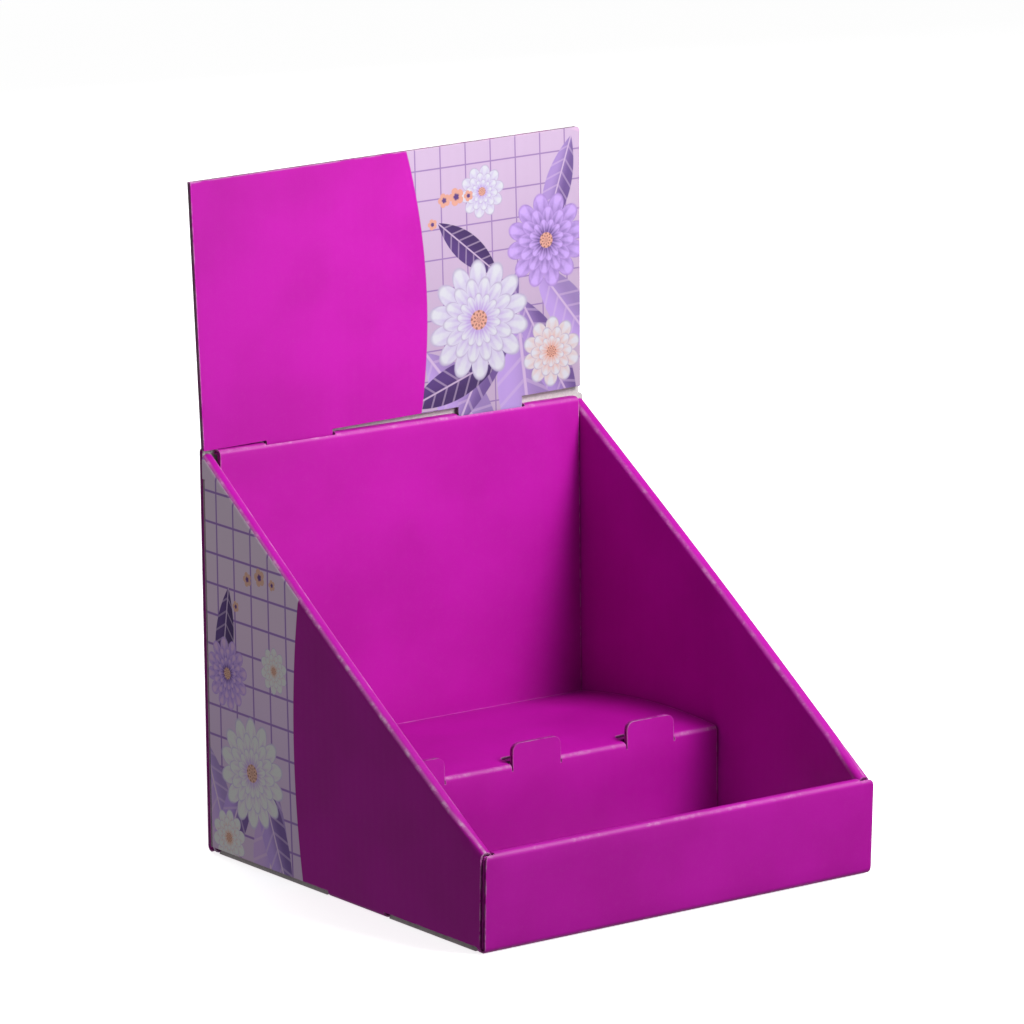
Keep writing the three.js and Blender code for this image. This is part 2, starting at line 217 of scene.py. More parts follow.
class Sheet:
    """Gathers the panels of one piece of board."""
    PRINTED, PLAIN, EDGE = range(3)
    CORE = (0.34, 0.68)     # where the core begins and ends, as parts of the thickness
    AWAY = 0.02             # a distance at which a crease or a cut no longer shows

    def __init__(self, board):
        self.board = board
        self.verts, self.faces, self.kinds = [], [], []
        self.flat, self.fold, self.cut = [], [], []
        self.rims = []

    def vertex(self, point, flat, fold, cut):
        self.verts.append(point)
        self.flat.append((flat.x * 10, flat.y * 10))
        self.fold.append(fold)
        self.cut.append(cut)
        return len(self.verts) - 1

    def panel(self, outline, place, lines, holes=(), creases=lambda u, v: Sheet.AWAY,
              joint=lambda p, q: False, shift=Vector((0, 0))):
        """Meshes the flat outline, cut by the lattice lines, and folds it by place(u, v, depth)."""
        loops = [outline, *holes]
        points, edges = [], []
        for loop in loops:
            first = len(points)
            points += loop
            edges += [(first + k, first + (k + 1) % len(loop)) for k in range(len(loop))]
        for a, b in lines:
            points += [Vector(a), Vector(b)]
            edges.append((len(points) - 2, len(points) - 1))
        grown, _, cells, _, _, _ = delaunay_2d_cdt(points, edges, [], 0, 1e-6)
        kept = []
        for cell in cells:
            middle = sum((grown[i] for i in cell), Vector((0, 0))) / 3
            if inside(middle, outline) and not any(inside(middle, hole) for hole in holes):
                kept.append(tuple(cell))
        uses = {}
        for a, b, c in kept:
            for edge in ((a, b), (b, c), (c, a)):
                uses[frozenset(edge)] = uses.get(frozenset(edge), 0) + 1
        sides = [edge for cell in kept for edge in zip(cell, cell[1:] + cell[:1])]
        open_rim = [(a, b) for a, b in sides
                    if uses[frozenset((a, b))] == 1 and not joint(grown[a], grown[b])]
        on_rim = {i for edge in open_rim for i in edge}
        used = sorted({i for cell in kept for i in cell})
        inward = {}
        for a, b in open_rim:
            way = (grown[b] - grown[a]).normalized()
            for i in (a, b):
                inward[i] = inward.get(i, Vector((0, 0))) + Vector((-way.y, way.x))
        for i in inward:
            inward[i] = inward[i].normalized()

        def at(flat, depth, cut):
            return self.vertex(place(flat.x, flat.y, depth), flat + shift, creases(flat.x, flat.y), cut)

        thick = self.board
        top, low = ({i: at(grown[i], depth, 0 if i in on_rim else self.AWAY / 2) for i in used}
                    for depth in (0, thick))
        for a, b, c in kept:
            self.faces += [(top[a], top[b], top[c]), (low[a], low[c], low[b])]
            self.kinds += [self.PRINTED, self.PLAIN]
        recess, near, far = thick * 0.14, thick * self.CORE[0], thick * self.CORE[1]
        profile = [(0, 0), (0, near), (recess, near * 1.1), (recess, far * 0.96), (0, far), (0, thick)]
        rows = {i: [at(grown[i] + inward[i] * inset, depth, 0) for inset, depth in profile] for i in on_rim}
        for a, b in open_rim:
            for k in range(len(profile) - 1):
                self.faces.append((rows[a][k], rows[a][k + 1], rows[b][k + 1], rows[b][k]))
                self.kinds.append(self.PRINTED if k == 0 else self.EDGE)
        self.keep_rims(open_rim, grown, inward, place, recess)

    def panel_on(self, side, outline, place, lines, **rules):
        """A panel of one side of the box: the left one is cut as the right one's mirror image."""
        if side > 0:
            self.panel(outline, place, lines, **rules)
            return
        creases, joint = rules.get("creases"), rules["joint"]
        if creases:
            rules["creases"] = lambda u, v: creases(-u, v)
        rules["joint"] = lambda p, q: joint(Vector((-p.x, p.y)), Vector((-q.x, q.y)))
        self.panel([Vector((-p.x, p.y)) for p in reversed(outline)], lambda u, v, d: place(-u, v, d),
                   [((-a[0], a[1]), (-b[0], b[1])) for a, b in lines], **rules)

    def keep_rims(self, open_rim, grown, inward, place, recess):
        """Chains of points along the cut edges, for the core that shows in them."""
        after = dict(open_rim)
        starts = [a for a in after if a not in set(after.values())]
        left = set(after)
        while left:
            i = next((a for a in starts if a in left), None)
            i = min(left) if i is None else i
            chain = []
            while i in left:
                left.discard(i)
                chain.append(i)
                i = after[i]
            chain.append(i)
            rows = []
            for i in chain:
                face = place(*grown[i], 0)
                back = place(*grown[i], self.board)
                centre = self.board * sum(self.CORE) / 2
                deep = place(*(grown[i] + inward[i] * recess * 3), centre)
                middle = place(*(grown[i] + inward[i] * recess * 0.2), centre)
                rows.append((middle, (face - back).normalized(), (deep - middle).normalized()))
            if len(rows) > 1:
                self.rims.append(rows)

    def build(self, name, materials):
        mesh = bpy.data.meshes.new(name)
        mesh.from_pydata([tuple(v) for v in self.verts], [], self.faces)
        for material in materials:
            mesh.materials.append(material)
        mesh.polygons.foreach_set("material_index", self.kinds)
        mesh.polygons.foreach_set("use_smooth", [kind != self.EDGE for kind in self.kinds])
        uv = mesh.uv_layers.new(name="flat_sheet").data
        for loop in mesh.loops:
            uv[loop.index].uv = self.flat[loop.vertex_index]
        for label, values in (("fold_distance", self.fold), ("cut_distance", self.cut)):
            attribute = mesh.attributes.new(label, "FLOAT", "POINT")
            attribute.data.foreach_set("value", values)
        mesh.validate()
        mesh.update()
        piece = bpy.data.objects.new(name, mesh)
        bpy.context.scene.collection.objects.link(piece)
        return piece


def lattice(us, vs):
    """Straight lattice lines over the whole range of u and v."""
    return ([((u, vs[0]), (u, vs[-1])) for u in us] + [((us[0], v), (us[-1], v)) for v in vs])


# Nodes as expressions

class Socket:
    def __init__(self, graph, socket):
        self.graph, self.socket = graph, socket

    def math(self, operation, *others):
        return self.graph.math(operation, self, *others)

    def __add__(self, other): return self.math("ADD", other)
    def __radd__(self, other): return self.math("ADD", other)
    def __sub__(self, other): return self.math("SUBTRACT", other)
    def __rsub__(self, other): return self.graph.math("SUBTRACT", other, self)
    def __mul__(self, other): return self.math("MULTIPLY", other)
    def __rmul__(self, other): return self.math("MULTIPLY", other)
    def __truediv__(self, other): return self.math("DIVIDE", other)
    def __rtruediv__(self, other): return self.graph.math("DIVIDE", other, self)
    def __pow__(self, other): return self.math("POWER", other)
    def __rpow__(self, other): return self.graph.math("POWER", other, self)

    def sine(self): return self.math("SINE")
    def size(self): return self.math("ABSOLUTE")
    def least(self, other): return self.math("MINIMUM", other)
    def most(self, other): return self.math("MAXIMUM", other)

    def ramp(self, low, high):
        """0 below low and 1 above high, with a smooth step between; falls if low is above high."""
        ends = (low, high, 0.0, 1.0) if low < high else (high, low, 1.0, 0.0)
        return self.graph.node("ShaderNodeMapRange", {"interpolation_type": "SMOOTHSTEP"}, self, *ends)


class Graph:
    """Builds a material's nodes, or those of a node group where one is given."""

    def __init__(self, name="", group=None):
        if group is None:
            self.material = bpy.data.materials.new(name)
            self.material.use_nodes = True
            self.material.node_tree.nodes.clear()
        self.tree = group or self.material.node_tree

    def node(self, kind, settings=None, *values, out=0, **named):
        node = self.tree.nodes.new(kind)
        for key, value in (settings or {}).items():
            setattr(node, key, value)
        for key, value in [*enumerate(values), *named.items()]:
            self.feed(node.inputs[key if isinstance(key, int) else key.replace("_", " ")], value)
        return Socket(self, node.outputs[out]) if len(node.outputs) else None

    def feed(self, target, value):
        if isinstance(value, Socket):
            self.tree.links.new(value.socket, target)
        else:
            target.default_value = value

    def math(self, operation, *values):
        return self.node("ShaderNodeMath", {"operation": operation}, *values)

    def mix(self, factor, low, high):
        node = self.tree.nodes.new("ShaderNodeMix")
        node.data_type = "RGBA"
        self.feed(node.inputs[0], factor)
        for index, value in ((6, low), (7, high)):
            self.feed(node.inputs[index], value if isinstance(value, Socket) else (*value, 1))
        return Socket(self, node.outputs[2])

    def split(self, vector):
        node = self.tree.nodes.new("ShaderNodeSeparateXYZ")
        self.feed(node.inputs[0], vector)
        return [Socket(self, output) for output in node.outputs]

    def place(self):
        return self.node("ShaderNodeTexCoord", out=3)

    def flat(self):
        return self.node("ShaderNodeUVMap", {"uv_map": "flat_sheet"})

    def attribute(self, name):
        return self.node("ShaderNodeAttribute", {"attribute_name": name}, out=2)

    def noise(self, where, scale, detail=2.0, rough=0.5):
        return self.node("ShaderNodeTexNoise", None, Vector=where, Scale=scale, Detail=detail,
                         Roughness=rough)

    def ribs(self, u):
        """The flutes' faint ribs across a sheet, whose map counts in decimetres."""
        return (u * (2 * math.pi / RIB_PITCH)).sine()

    def surface(self, base, roughness, height, strength, distance, **constants):
        bump = self.node("ShaderNodeBump", None, Strength=strength, Distance=distance, Height=height)
        shader = self.node("ShaderNodeBsdfPrincipled", None, Base_Color=base, Roughness=roughness,
                           Normal=bump, **constants)
        self.node("ShaderNodeOutputMaterial", None, Surface=shader)
        return self.material


def scaled(colour, gain):
    return tuple(min(1, x * gain) for x in colour)


class PrintFinish:
    """Laminated print: ink mottle, the flutes' faint ribs, cracked creases under a painted highlight line
    along each fold, and rubbed cut edges.
    """

    def __init__(self, name, colours, crack_and_highlight_amount=1.0):
        self.colours = colours
        self.graph = graph = Graph(name)
        self.where = graph.place()
        self.u, self.v, _ = graph.split(graph.flat())
        self.cloud = graph.noise(self.where, 16.0, 3.0)
        self.grain = graph.noise(self.where, 900.0, 2.0, 0.6)
        self.speck = graph.noise(self.where, 260.0, 4.0, 0.65)
        wear = graph.noise(self.where, 120.0, 5.0, 0.7)
        fold, cut = graph.attribute("fold_distance"), graph.attribute("cut_distance")
        # The creases: real cracks where the wear noise is high, and a painted highlight line (the constant
        # 0.22) along the whole fold; the rubbed cut edges are real wear.
        crease = fold.ramp(0.0010, 0.0001) * (wear.ramp(0.48, 0.68) * 0.6 + 0.22) * crack_and_highlight_amount
        self.worn = crease.most(cut.ramp(0.0010, 0.0) * wear.ramp(0.36, 0.62) * 0.5)
        self.ink = graph.mix(self.cloud.ramp(0.32, 0.68), colours.print_deep, colours.print_body)

    def finish(self, base):
        graph, crack = self.graph, self.colours.crack
        grains = (self.speck.ramp(0.45, 0.80) * 0.5 + self.grain.ramp(0.5, 0.8)) * 0.014
        # Paper specks, then the cracks, rubbed cut edges and the painted fold highlight, all in the cracked
        # ink colour.
        shown = graph.mix(self.worn, graph.mix(grains, base, crack), crack)
        ink = graph.ribs(self.u) * 0.18 + self.speck * 0.14 + self.grain * 0.05 + self.cloud * 1.2
        roughness = self.grain * 0.08 + 0.42 + self.worn * 0.25 + self.cloud.ramp(0.3, 0.7) * 0.05
        return graph.surface(shown, roughness, ink - self.worn * 0.4, 0.35, 0.00022, IOR=1.45,
                             Specular_IOR_Level=0.2, Coat_Roughness=0.2, Coat_Weight=0.02)


def magenta_print(colours):
    finish = PrintFinish("magenta_print", colours, 0.55)
    return finish.finish(finish.ink)


class Picture:
    """A picture field: a tiled ground with flowers and leaves, in units of a decimetre."""
    TILE = 0.165
    PAPER = (0.92, 0.92, 0.92)

    def __init__(self, finish, across, up, width, amount):
        self.finish, self.graph, self.colours = finish, finish.graph, finish.colours
        self.across, self.up = across, up
        ground = self.colours.ground
        tone = up.ramp(0.1, 1.9) * 0.8 + finish.cloud * 0.2
        lines = self.line(across, width).most(self.line(up, width))
        self.paint = self.graph.mix(lines * amount, self.graph.mix(tone, scaled(ground, 0.78), ground),
                                    self.colours.grid)

    def toned(self, gain):
        """The finished picture, lighter or darker by gain and never whiter than paper."""
        tones = self.graph.node("ShaderNodeVectorMath", {"operation": "SCALE"}, self.paint, Scale=gain)
        return self.graph.node("ShaderNodeVectorMath", {"operation": "MINIMUM"}, tones, self.PAPER)

    def line(self, along, width):
        edge = math.sin(math.pi * width / self.TILE)
        return (along * (math.pi / self.TILE)).sine().size().ramp(edge, edge * 0.35)

    def polar(self, x, y):
        dx, dy = self.across - x, self.up - y
        return (dx * dx + dy * dy) ** 0.5, dy.math("ARCTAN2", dx)

    def flower(self, x, y, radius, petals, turn, tint, shade):
        """Three rings of overlapping petals round a dotted heart."""
        graph, c = self.graph, self.colours
        reach, around = self.polar(x, y)
        speck = self.finish.speck.ramp(0.3, 0.7) * 0.15
        for ring, share in enumerate((1.0, 0.72, 0.45)):
            size = radius * share
            wave = (around * (petals / 2) + (turn + ring * math.pi / 2)).sine().size()
            part = reach / ((wave ** 0.55) * (size * 0.30) + size * 0.70)
            tone = part.ramp(0.35, 1.0) * 0.75 + wave.ramp(0.75, 1.0) * 0.35 + speck
            petal = graph.mix(tone.least(1.0), shade, tint)
            rimmed = graph.mix(part.ramp(0.90, 0.97) * 0.45, petal, c.grid)
            self.paint = graph.mix(part.ramp(1.0, 0.955), self.paint, rimmed)
        dots = ((around * 9.0).sine() * (reach * (110.0 / radius * 0.5)).sine()).ramp(0.1, 0.5)
        heart = graph.mix(dots, c.peach, scaled(c.peach, 0.45))
        self.paint = graph.mix(reach.ramp(radius * 0.17, radius * 0.15), self.paint, heart)

    def leaf(self, x, y, long, wide, degrees, tint, shade):
        """A pointed leaf with a midrib and side veins."""
        graph = self.graph
        ca, sa = math.cos(math.radians(degrees)), math.sin(math.radians(degrees))
        dx, dy = self.across - x, self.up - y
        along = (dx * ca + dy * sa) / long
        over = (dy * ca - dx * sa) / wide
        body = 1 - along * along - over.size()
        ribs = (along * 26.0 + over.size() * 6.0).sine().ramp(0.75, 0.95) * 0.45
        tone = (over.ramp(-0.6, 0.6) * 0.7 + 0.15).least(1.0)
        veins = ribs.most(over.size().ramp(0.07, 0.03)) * 0.8
        veined = graph.mix(veins, graph.mix(tone, shade, tint), self.colours.ground)
        self.paint = graph.mix(body.ramp(0.0, 0.05), self.paint, veined)

    def spray(self, x, y, spread, count):
        """Small peach blossoms strewn on a curve."""
        for k in range(count):
            t = k / (count - 1)
            reach, around = self.polar(x + spread * t, y + spread * 0.55 * math.sin(2.3 * t) + 0.03 * (k % 2))
            size = 0.032 + 0.010 * ((k * 7) % 3)
            part = reach / (((around * 2.5).sine().size() ** 0.5) * (size * 0.35) + size * 0.65)
            blossom = self.graph.mix(part.ramp(0.25, 0.5), self.colours.violet, self.colours.peach)
            self.paint = self.graph.mix(part.ramp(1.0, 0.93), self.paint, blossom)

    def draw(self, leaves, flowers, spray):
        """Leaves first, flowers over them, then the blossoms; each leaf and flower names its tints last."""
        c = self.colours
        tints = {"pale": (scaled(c.lilac, 1.15), scaled(c.lilac, 0.6)), "veined": (c.lilac, c.violet),
                 "dark": (c.violet, scaled(c.violet, 0.5)), "silver": (c.silver, c.lilac),
                 "lilac": (scaled(c.lilac, 1.25), c.violet), "peach": (c.silver, c.peach)}
        for *form, tint in leaves:
            self.leaf(*form, *tints[tint])
        for *form, tint in flowers:
            self.flower(*form, *tints[tint])
        self.spray(*spray)


def header_print(colours):
    """The header: magenta left of a bowed line, and a picture field right of it."""
    finish = PrintFinish("header_print", colours, 0.4)
    u, v = finish.u, finish.v
    edge = 0.222 - ((v - 0.66) ** 2.0) * 0.155 + (v - 0.66) * -0.02
    picture = Picture(finish, u, v, 0.006, 0.75)
    picture.draw(
        ((0.86, 0.06, 0.52, 0.19, 96, "pale"), (0.44, 0.02, 0.40, 0.15, 128, "pale"),
         (1.16, 0.44, 0.36, 0.12, 128, "pale"), (0.62, 0.30, 0.46, 0.13, 62, "veined"),
         (1.02, 0.20, 0.40, 0.12, 118, "veined"), (0.40, 0.14, 0.34, 0.10, 18, "dark"),
         (1.10, 1.12, 0.30, 0.09, 70, "veined"), (0.50, 0.86, 0.26, 0.08, 140, "dark")),
        ((0.56, 0.46, 0.34, 14, 0.0, "silver"), (1.02, 0.84, 0.27, 12, 0.6, "lilac"),
         (1.04, 0.22, 0.20, 10, 0.3, "peach"), (0.60, 1.16, 0.15, 10, 0.9, "silver")),
        (0.27, 1.02, 0.24, 4))
    field = (u - edge).ramp(-0.0035, 0.0035)
    return finish.finish(finish.graph.mix(field, finish.ink, picture.toned(0.86)))


def left_side_print(colours):
    """The left side wall: a picture field at its back, magenta towards the front and over the roll."""
    finish = PrintFinish("left_side_print", colours)
    _, y, z = finish.graph.split(finish.where)
    back, up = (y + HALF_DEPTH / 10) * 10.0, z * 10.0
    edge = 1.655 - ((up - 0.55) ** 2.0) * 0.105 + (up - 0.55) * 0.03
    tray = TrayMaker(bpy.context.scene.box_sizes)
    roll = tray.s.front_height - tray.reach * (tray.stretch + 1) + tray.arc * 0.45
    slope = (back * 0.1 * tray.rise + roll) * 10.0
    picture = Picture(finish, 2 * HALF_DEPTH - back, up, 0.0095, 0.95)
    picture.draw(
        ((0.62, 0.10, 0.44, 0.17, 84, "pale"), (0.12, 0.30, 0.36, 0.13, 112, "pale"),
         (0.30, 0.28, 0.42, 0.12, 64, "veined"), (0.66, 0.22, 0.40, 0.12, 112, "veined"),
         (0.22, 1.20, 0.30, 0.09, 80, "dark")),
        ((0.46, 0.52, 0.31, 14, 0.0, "silver"), (0.24, 1.02, 0.20, 12, 0.6, "lilac"),
         (0.70, 1.12, 0.13, 10, 0.3, "peach"), (0.22, 0.12, 0.16, 10, 0.5, "peach")),
        (0.34, 1.40, 0.36, 4))
    field = (back - edge).ramp(-0.0035, 0.0035) * (slope - finish.v).ramp(-0.001, 0.003)
    # Painted light: the same picture is painted 1.65 times as light here, against 0.86 on the header, to make
    # up for the shade this wall stands in.
    return finish.finish(finish.graph.mix(field, finish.ink, picture.toned(1.65)))


def plain_liner(colours):
    """Unprinted grey liner with paper fibres and the flutes' faint ribs."""
    graph = Graph("plain_liner")
    where = graph.place()
    fibre = graph.noise(where, 700.0, 4.0, 0.7)
    tone = graph.noise(where, 30.0, 3.0).ramp(0.3, 0.7) * 0.25 + fibre.ramp(0.35, 0.7) * 0.5 + 0.15
    base = graph.mix(tone, scaled(colours.liner, 0.78), scaled(colours.liner, 1.18))
    u, _, _ = graph.split(graph.flat())
    return graph.surface(base, fibre * 0.15 + 0.78, graph.ribs(u) * 0.5 + fibre * 0.6, 0.4, 0.0002)


def cut_edge(colours):
    """The edges of the two liners in a cut: pale torn paper with specks of ink."""
    graph = Graph("cut_edge")
    where = graph.place()
    torn = graph.noise(where, 420.0, 4.0, 0.7)
    tint = graph.noise(where, 90.0, 3.0)
    pale = graph.mix(torn.ramp(0.35, 0.65), (0.36, 0.30, 0.33), (0.22, 0.13, 0.19))
    base = graph.mix(tint.ramp(0.45, 0.6) * 0.55, pale, colours.print_deep)
    return graph.surface(base, torn * 0.2 + 0.7, torn, 0.5, 0.0002)


def pressed_edge(colours):
    """A die-cut edge that the knife has pressed shut, so that the ink is drawn over it."""
    graph = Graph("pressed_edge")
    torn = graph.noise(graph.place(), 420.0, 4.0, 0.7)
    ink = graph.mix(torn.ramp(0.3, 0.7), scaled(colours.print_deep, 0.7), colours.print_body)
    base = graph.mix(torn.ramp(0.62, 0.75) * 0.35, ink, colours.crack)
    return graph.surface(base, torn * 0.2 + 0.55, torn, 0.4, 0.00015)


def fluting(name, colour, low, high, roughness):
    """Fluting paper in a cut."""
    graph = Graph(name)
    fibre = graph.noise(graph.place(), 600.0, 4.0, 0.7)
    base = graph.mix(fibre.ramp(0.3, 0.7), scaled(colour, low), scaled(colour, high))
    return graph.surface(base, fibre * 0.1 + roughness, fibre, 0.4, 0.00015)


def pressed_core(colours):
    """Fluting paper in a pressed edge, stained by the ink."""
    return fluting("pressed_core", colours.print_deep, 0.35, 0.6, 0.7)


def fluted_core(colours):
    """Brown-grey fluting paper in a clean cut."""
    return fluting("fluted_core", colours.core, 0.65, 1.3, 0.8)


def material(maker):
    """The material that carries its maker's name, made once."""
    return bpy.data.materials.get(maker.__name__) or maker(bpy.context.scene.box_colours)


def take_part(piece, node=None):
    """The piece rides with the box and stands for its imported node."""
    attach(piece, "root")
    if node:
        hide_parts(node)


# The tray

class TrayMaker:
    def __init__(self, sizes):
        self.s = s = sizes
        self.sheet, self.left = Sheet(s.board), Sheet(s.board)
        self.half, self.seat = s.board / 2, s.board + SLIP
        self.front_y, self.back_y = -s.depth / 2, s.depth / 2
        self.end_y = self.back_y - s.board - SLIP
        self.side_x = s.width / 2
        self.inner_x = self.side_x - s.roll
        self.reach = s.bend + s.board / 2
        self.rise = (s.side_height - s.front_height) / (self.end_y - self.front_y)
        self.stretch = math.hypot(1, self.rise)
        self.arc = s.bend * math.pi / 2
        inside = s.roll - s.board
        self.roll = FoldLine([(0, -self.reach), (0, 0), (inside, 0), (inside, -self.reach)], s.bend)
        self.low_bend = FoldLine([(-self.reach, 0), (0, 0), (0, self.reach)], s.bend)
        self.roll_start = self.roll.bends[0][0]
        self.roll_length = self.roll.bends[1][1] - self.roll_start
        self.front_leg = s.front_height - 2 * self.reach
        self.bend_rows = [-self.arc * (1 - k / BEND_STEPS) for k in range(BEND_STEPS)]

    def top(self, y):
        """Height of a side wall's top."""
        return self.s.front_height + (y - self.front_y) * self.rise

    def leg(self, y):
        """Length of a side wall's outer leg, between its bottom bend and its roll."""
        return self.top(y) - self.reach * self.stretch - self.reach

    def inner(self, y, z):
        """Where height z lies on a side wall's inner leg, along the flat board."""
        return self.leg(y) + self.roll_length + self.top(y) - self.reach * self.stretch - z

    def tip(self, y, z):
        """The front wall and what meets it tips forward."""
        fade = max(0, 1 - max(0, y - self.front_y - self.s.roll) / 0.02)
        return self.s.lean * min(1, max(0, z) / self.s.front_height) * fade

    def bulge(self, bow, y, z, top):
        """How far a side wall bows out."""
        along = min(1, max(0, (y - self.front_y) / (self.end_y - self.front_y)))
        return bow * math.sin(math.pi * along) * math.sin(math.pi / 2 * min(1, max(0, z) / top))

    def corner(self, along):
        """A point on a quarter bend and its outward normal; along runs from 0 to 1."""
        start, end = self.low_bend.bends[0]
        return self.low_bend.frame(start + (end - start) * along)

    def base_seam(self, p, q):
        """The fold at which the front and back walls go on as the base."""
        return max(p.y, q.y) < -self.arc + NEAR and max(abs(p.x), abs(q.x)) < BASE_SEAM

    # Front wall: up from the base, over and down inside

    def front_place(self, u, v, depth):
        s, half, leg, roll = self.s, self.half, self.front_leg, self.roll_length
        y, ny, nz = self.front_y + half, -1, 0
        if v < 0:
            point, normal = self.corner(1 + v / self.arc)
            y, z, ny, nz = y - point.x, point.y + half, -abs(normal.x), -abs(normal.y)
        elif v <= leg:
            z = self.reach + v
        elif v <= leg + roll:
            point, (ny, nz) = self.roll.frame(self.roll_start + v - leg)
            y, z = y + point.x, s.front_height - half + point.y
        else:
            y, z, ny = self.front_y + s.roll - half, s.front_height - self.reach - (v - leg - roll), 1
        y, z = y + ny * (half - depth), z + nz * (half - depth)
        return Vector((u, y - s.lean * z / s.front_height, z))

    def front(self):
        s, leg, roll, arc = self.s, self.front_leg, self.roll_length, self.arc
        inner = leg + roll + s.front_height - self.reach - self.seat
        low_tab = inner + s.board + 0.1 * MM
        a, b = OUTER_SHIFT - OUTER_EDGE, OUTER_SHIFT + OUTER_EDGE
        narrow = self.inner_x - PLAY
        round_, lip = 2.6 * MM, leg + arc * 0.6
        tabs = [corner for middle in FRONT_TABS for corner in (
            (middle + FRONT_TAB, inner, 0), (middle + FRONT_TAB, low_tab, 2 * MM),
            (middle - FRONT_TAB, low_tab, 2 * MM), (middle - FRONT_TAB, inner, 0))]
        outline = rounded([
            (a + 0.8 * MM, -arc, 0), (b - 0.8 * MM, -arc, 0), (b, -0.2 * MM, round_),
            (b, lip, round_), (narrow, lip, 0.6 * MM), (narrow, inner, 0), *tabs, (-narrow, inner, 0),
            (-narrow, lip, 0.6 * MM), (a, lip, round_), (a, -0.2 * MM, round_)])
        vs = self.bend_rows + even(0, leg, 8 * MM) + even(leg, leg + roll, roll / ROLL_STEPS)[1:]
        vs += even(leg + roll, inner, 8 * MM)[1:] + [low_tab]
        folds = (leg + arc / 2, leg + roll - arc / 2, -arc / 2)
        self.sheet.panel(outline, self.front_place, lattice(even(a - MM, b + MM, 8 * MM), vs),
                         creases=lambda u, v: min(abs(v - f) for f in folds), joint=self.base_seam)

    # Side walls: up from the base, over the slope and down inside

    def side_place(self, side, bow):
        half, roll = self.half, self.roll_length

        def place(y0, v, depth):
            y = y0
            for _ in range(2):
                top, leg = self.top(y), self.leg(y)
                if v <= leg:
                    z = self.reach + max(0, v)
                elif v <= leg + roll:
                    z = top
                else:
                    z = top - self.reach * self.stretch - (v - leg - roll)
                y = y0 - self.tip(y0, z)
            x, nx, nz = self.side_x - half, 1, 0
            if v < 0:
                point, normal = self.corner(1 + v / self.arc)
                x, z, nx, nz = x + point.x, point.y + half, abs(normal.x), -abs(normal.y)
            elif leg < v <= leg + roll:
                point, normal = self.roll.frame(self.roll_start + v - leg)
                x, z = x - point.x, top + (point.y - half) * self.stretch
                nx, nz = -normal.x, normal.y * self.stretch
            elif v > leg:
                x, nx = self.inner_x + half + max(0, self.seat - z) * TAB_SPLAY, -1
            x, z = x + nx * (half - depth), z + nz * (half - depth)
            return Vector((side * (x + self.bulge(bow, y, z, top)), y, z))
        return place

    def side(self, side, bow, sheet):
        arc, roll, leg, inner, end = self.arc, self.roll_length, self.leg, self.inner, self.end_y
        start = self.front_y + self.s.board + PLAY
        flap_y, fold_y = end - self.s.board - PLAY, end - self.reach
        flap_v = FLAP_TOP - self.reach
        outline = [(start, -arc)]
        for low, high in SIDE_SLOTS:
            low, high = self.front_y + low, min(self.front_y + high, fold_y - 0.5 * MM)
            outline += [(low, -arc), (low, 0), (high, 0), (high, -arc)]
        outline += [(fold_y, -arc), (fold_y, flap_v), (end, flap_v), (end, leg(end) + roll),
                    (end, inner(end, FLAP_TOP)), (flap_y, inner(flap_y, FLAP_TOP)),
                    (flap_y, inner(flap_y, self.seat))]
        for low, high in reversed(SIDE_SLOTS):
            low, high = self.front_y + low + 2 * MM, min(self.front_y + high - 2 * MM, flap_y)
            outline += rounded([(high, inner(high, self.seat), 0), (high, inner(high, 0.2 * MM), 2 * MM),
                                (low, inner(low, 0.2 * MM), 2 * MM), (low, inner(low, self.seat), 0)])
        outline += [(start, v) for v in (inner(start, self.seat), leg(start) + roll, leg(start),
                                         leg(start) - 1.5 * MM)]
        outline = [Vector(p) for p in outline]
        outline = [p for k, p in enumerate(outline) if (p - outline[k - 1]).length > 1e-6]
        y0, y1 = start - MM, end + MM
        lines = []
        for z in even(0, self.s.side_height, 8 * MM):
            lines += [((y0, z), (y1, z)), ((y0, inner(y0, z)), (y1, inner(y1, z)))]
        for k in range(1, BEND_STEPS):
            lines.append(((y0, -arc * k / BEND_STEPS), (y1, -arc * k / BEND_STEPS)))
        for k in range(ROLL_STEPS + 1):
            lines.append(((y0, leg(y0) + roll * k / ROLL_STEPS), (y1, leg(y1) + roll * k / ROLL_STEPS)))
        for y in even(start, end, 8 * MM):
            lines.append(((y, -arc), (y, inner(y, 0))))

        def creases(y, v):
            return min(abs(v - f) for f in (-arc / 2, leg(y) + arc / 2, leg(y) + roll - arc / 2))

        def joint(p, q):
            flap = min(p.x, q.x) > fold_y - NEAR and abs(p.x - q.x) < NEAR
            return max(p.y, q.y) < (flap_v if flap else -arc) + NEAR
        sheet.panel_on(side, outline, self.side_place(side, bow), lines, creases=creases, joint=joint)
        self.glue_flap(side, bow, sheet)

    def glue_flap(self, side, bow, sheet):
        """From the side wall's back edge, round the corner and along the back wall."""
        half, arc = self.half, self.arc
        wide = FLAP_WIDTH - self.reach

        def place(u, z, depth):
            if u < arc:
                point, normal = self.corner(1 - u / arc)
                x, y = self.side_x - half + point.x, self.end_y - half - point.y
                nx, ny = abs(normal.x), abs(normal.y)
            else:
                x, y, nx, ny = self.side_x - self.reach - (u - arc), self.end_y - half, 0, 1
            x, y = x + nx * (half - depth), y + ny * (half - depth)
            return Vector((side * (x + self.bulge(bow, y, z, self.top(y))), y, z))
        outline = rounded([(0, self.seat, 0), (arc + wide, self.seat, 0), (arc + wide, FLAP_TOP, 2 * MM),
                           (0, FLAP_TOP, 0)])
        us = [0, *[arc * k / BEND_STEPS for k in range(1, BEND_STEPS + 1)], arc + wide / 2, arc + wide]
        sheet.panel_on(side, outline, place, lattice(us, even(self.seat, FLAP_TOP, 16 * MM)),
                       joint=lambda p, q: abs(p.x) < NEAR and abs(q.x) < NEAR)

    # Back wall and base

    def back(self):
        s, half, arc = self.s, self.half, self.arc
        shoulder, top = s.shoulder - self.reach, s.back_height - self.reach

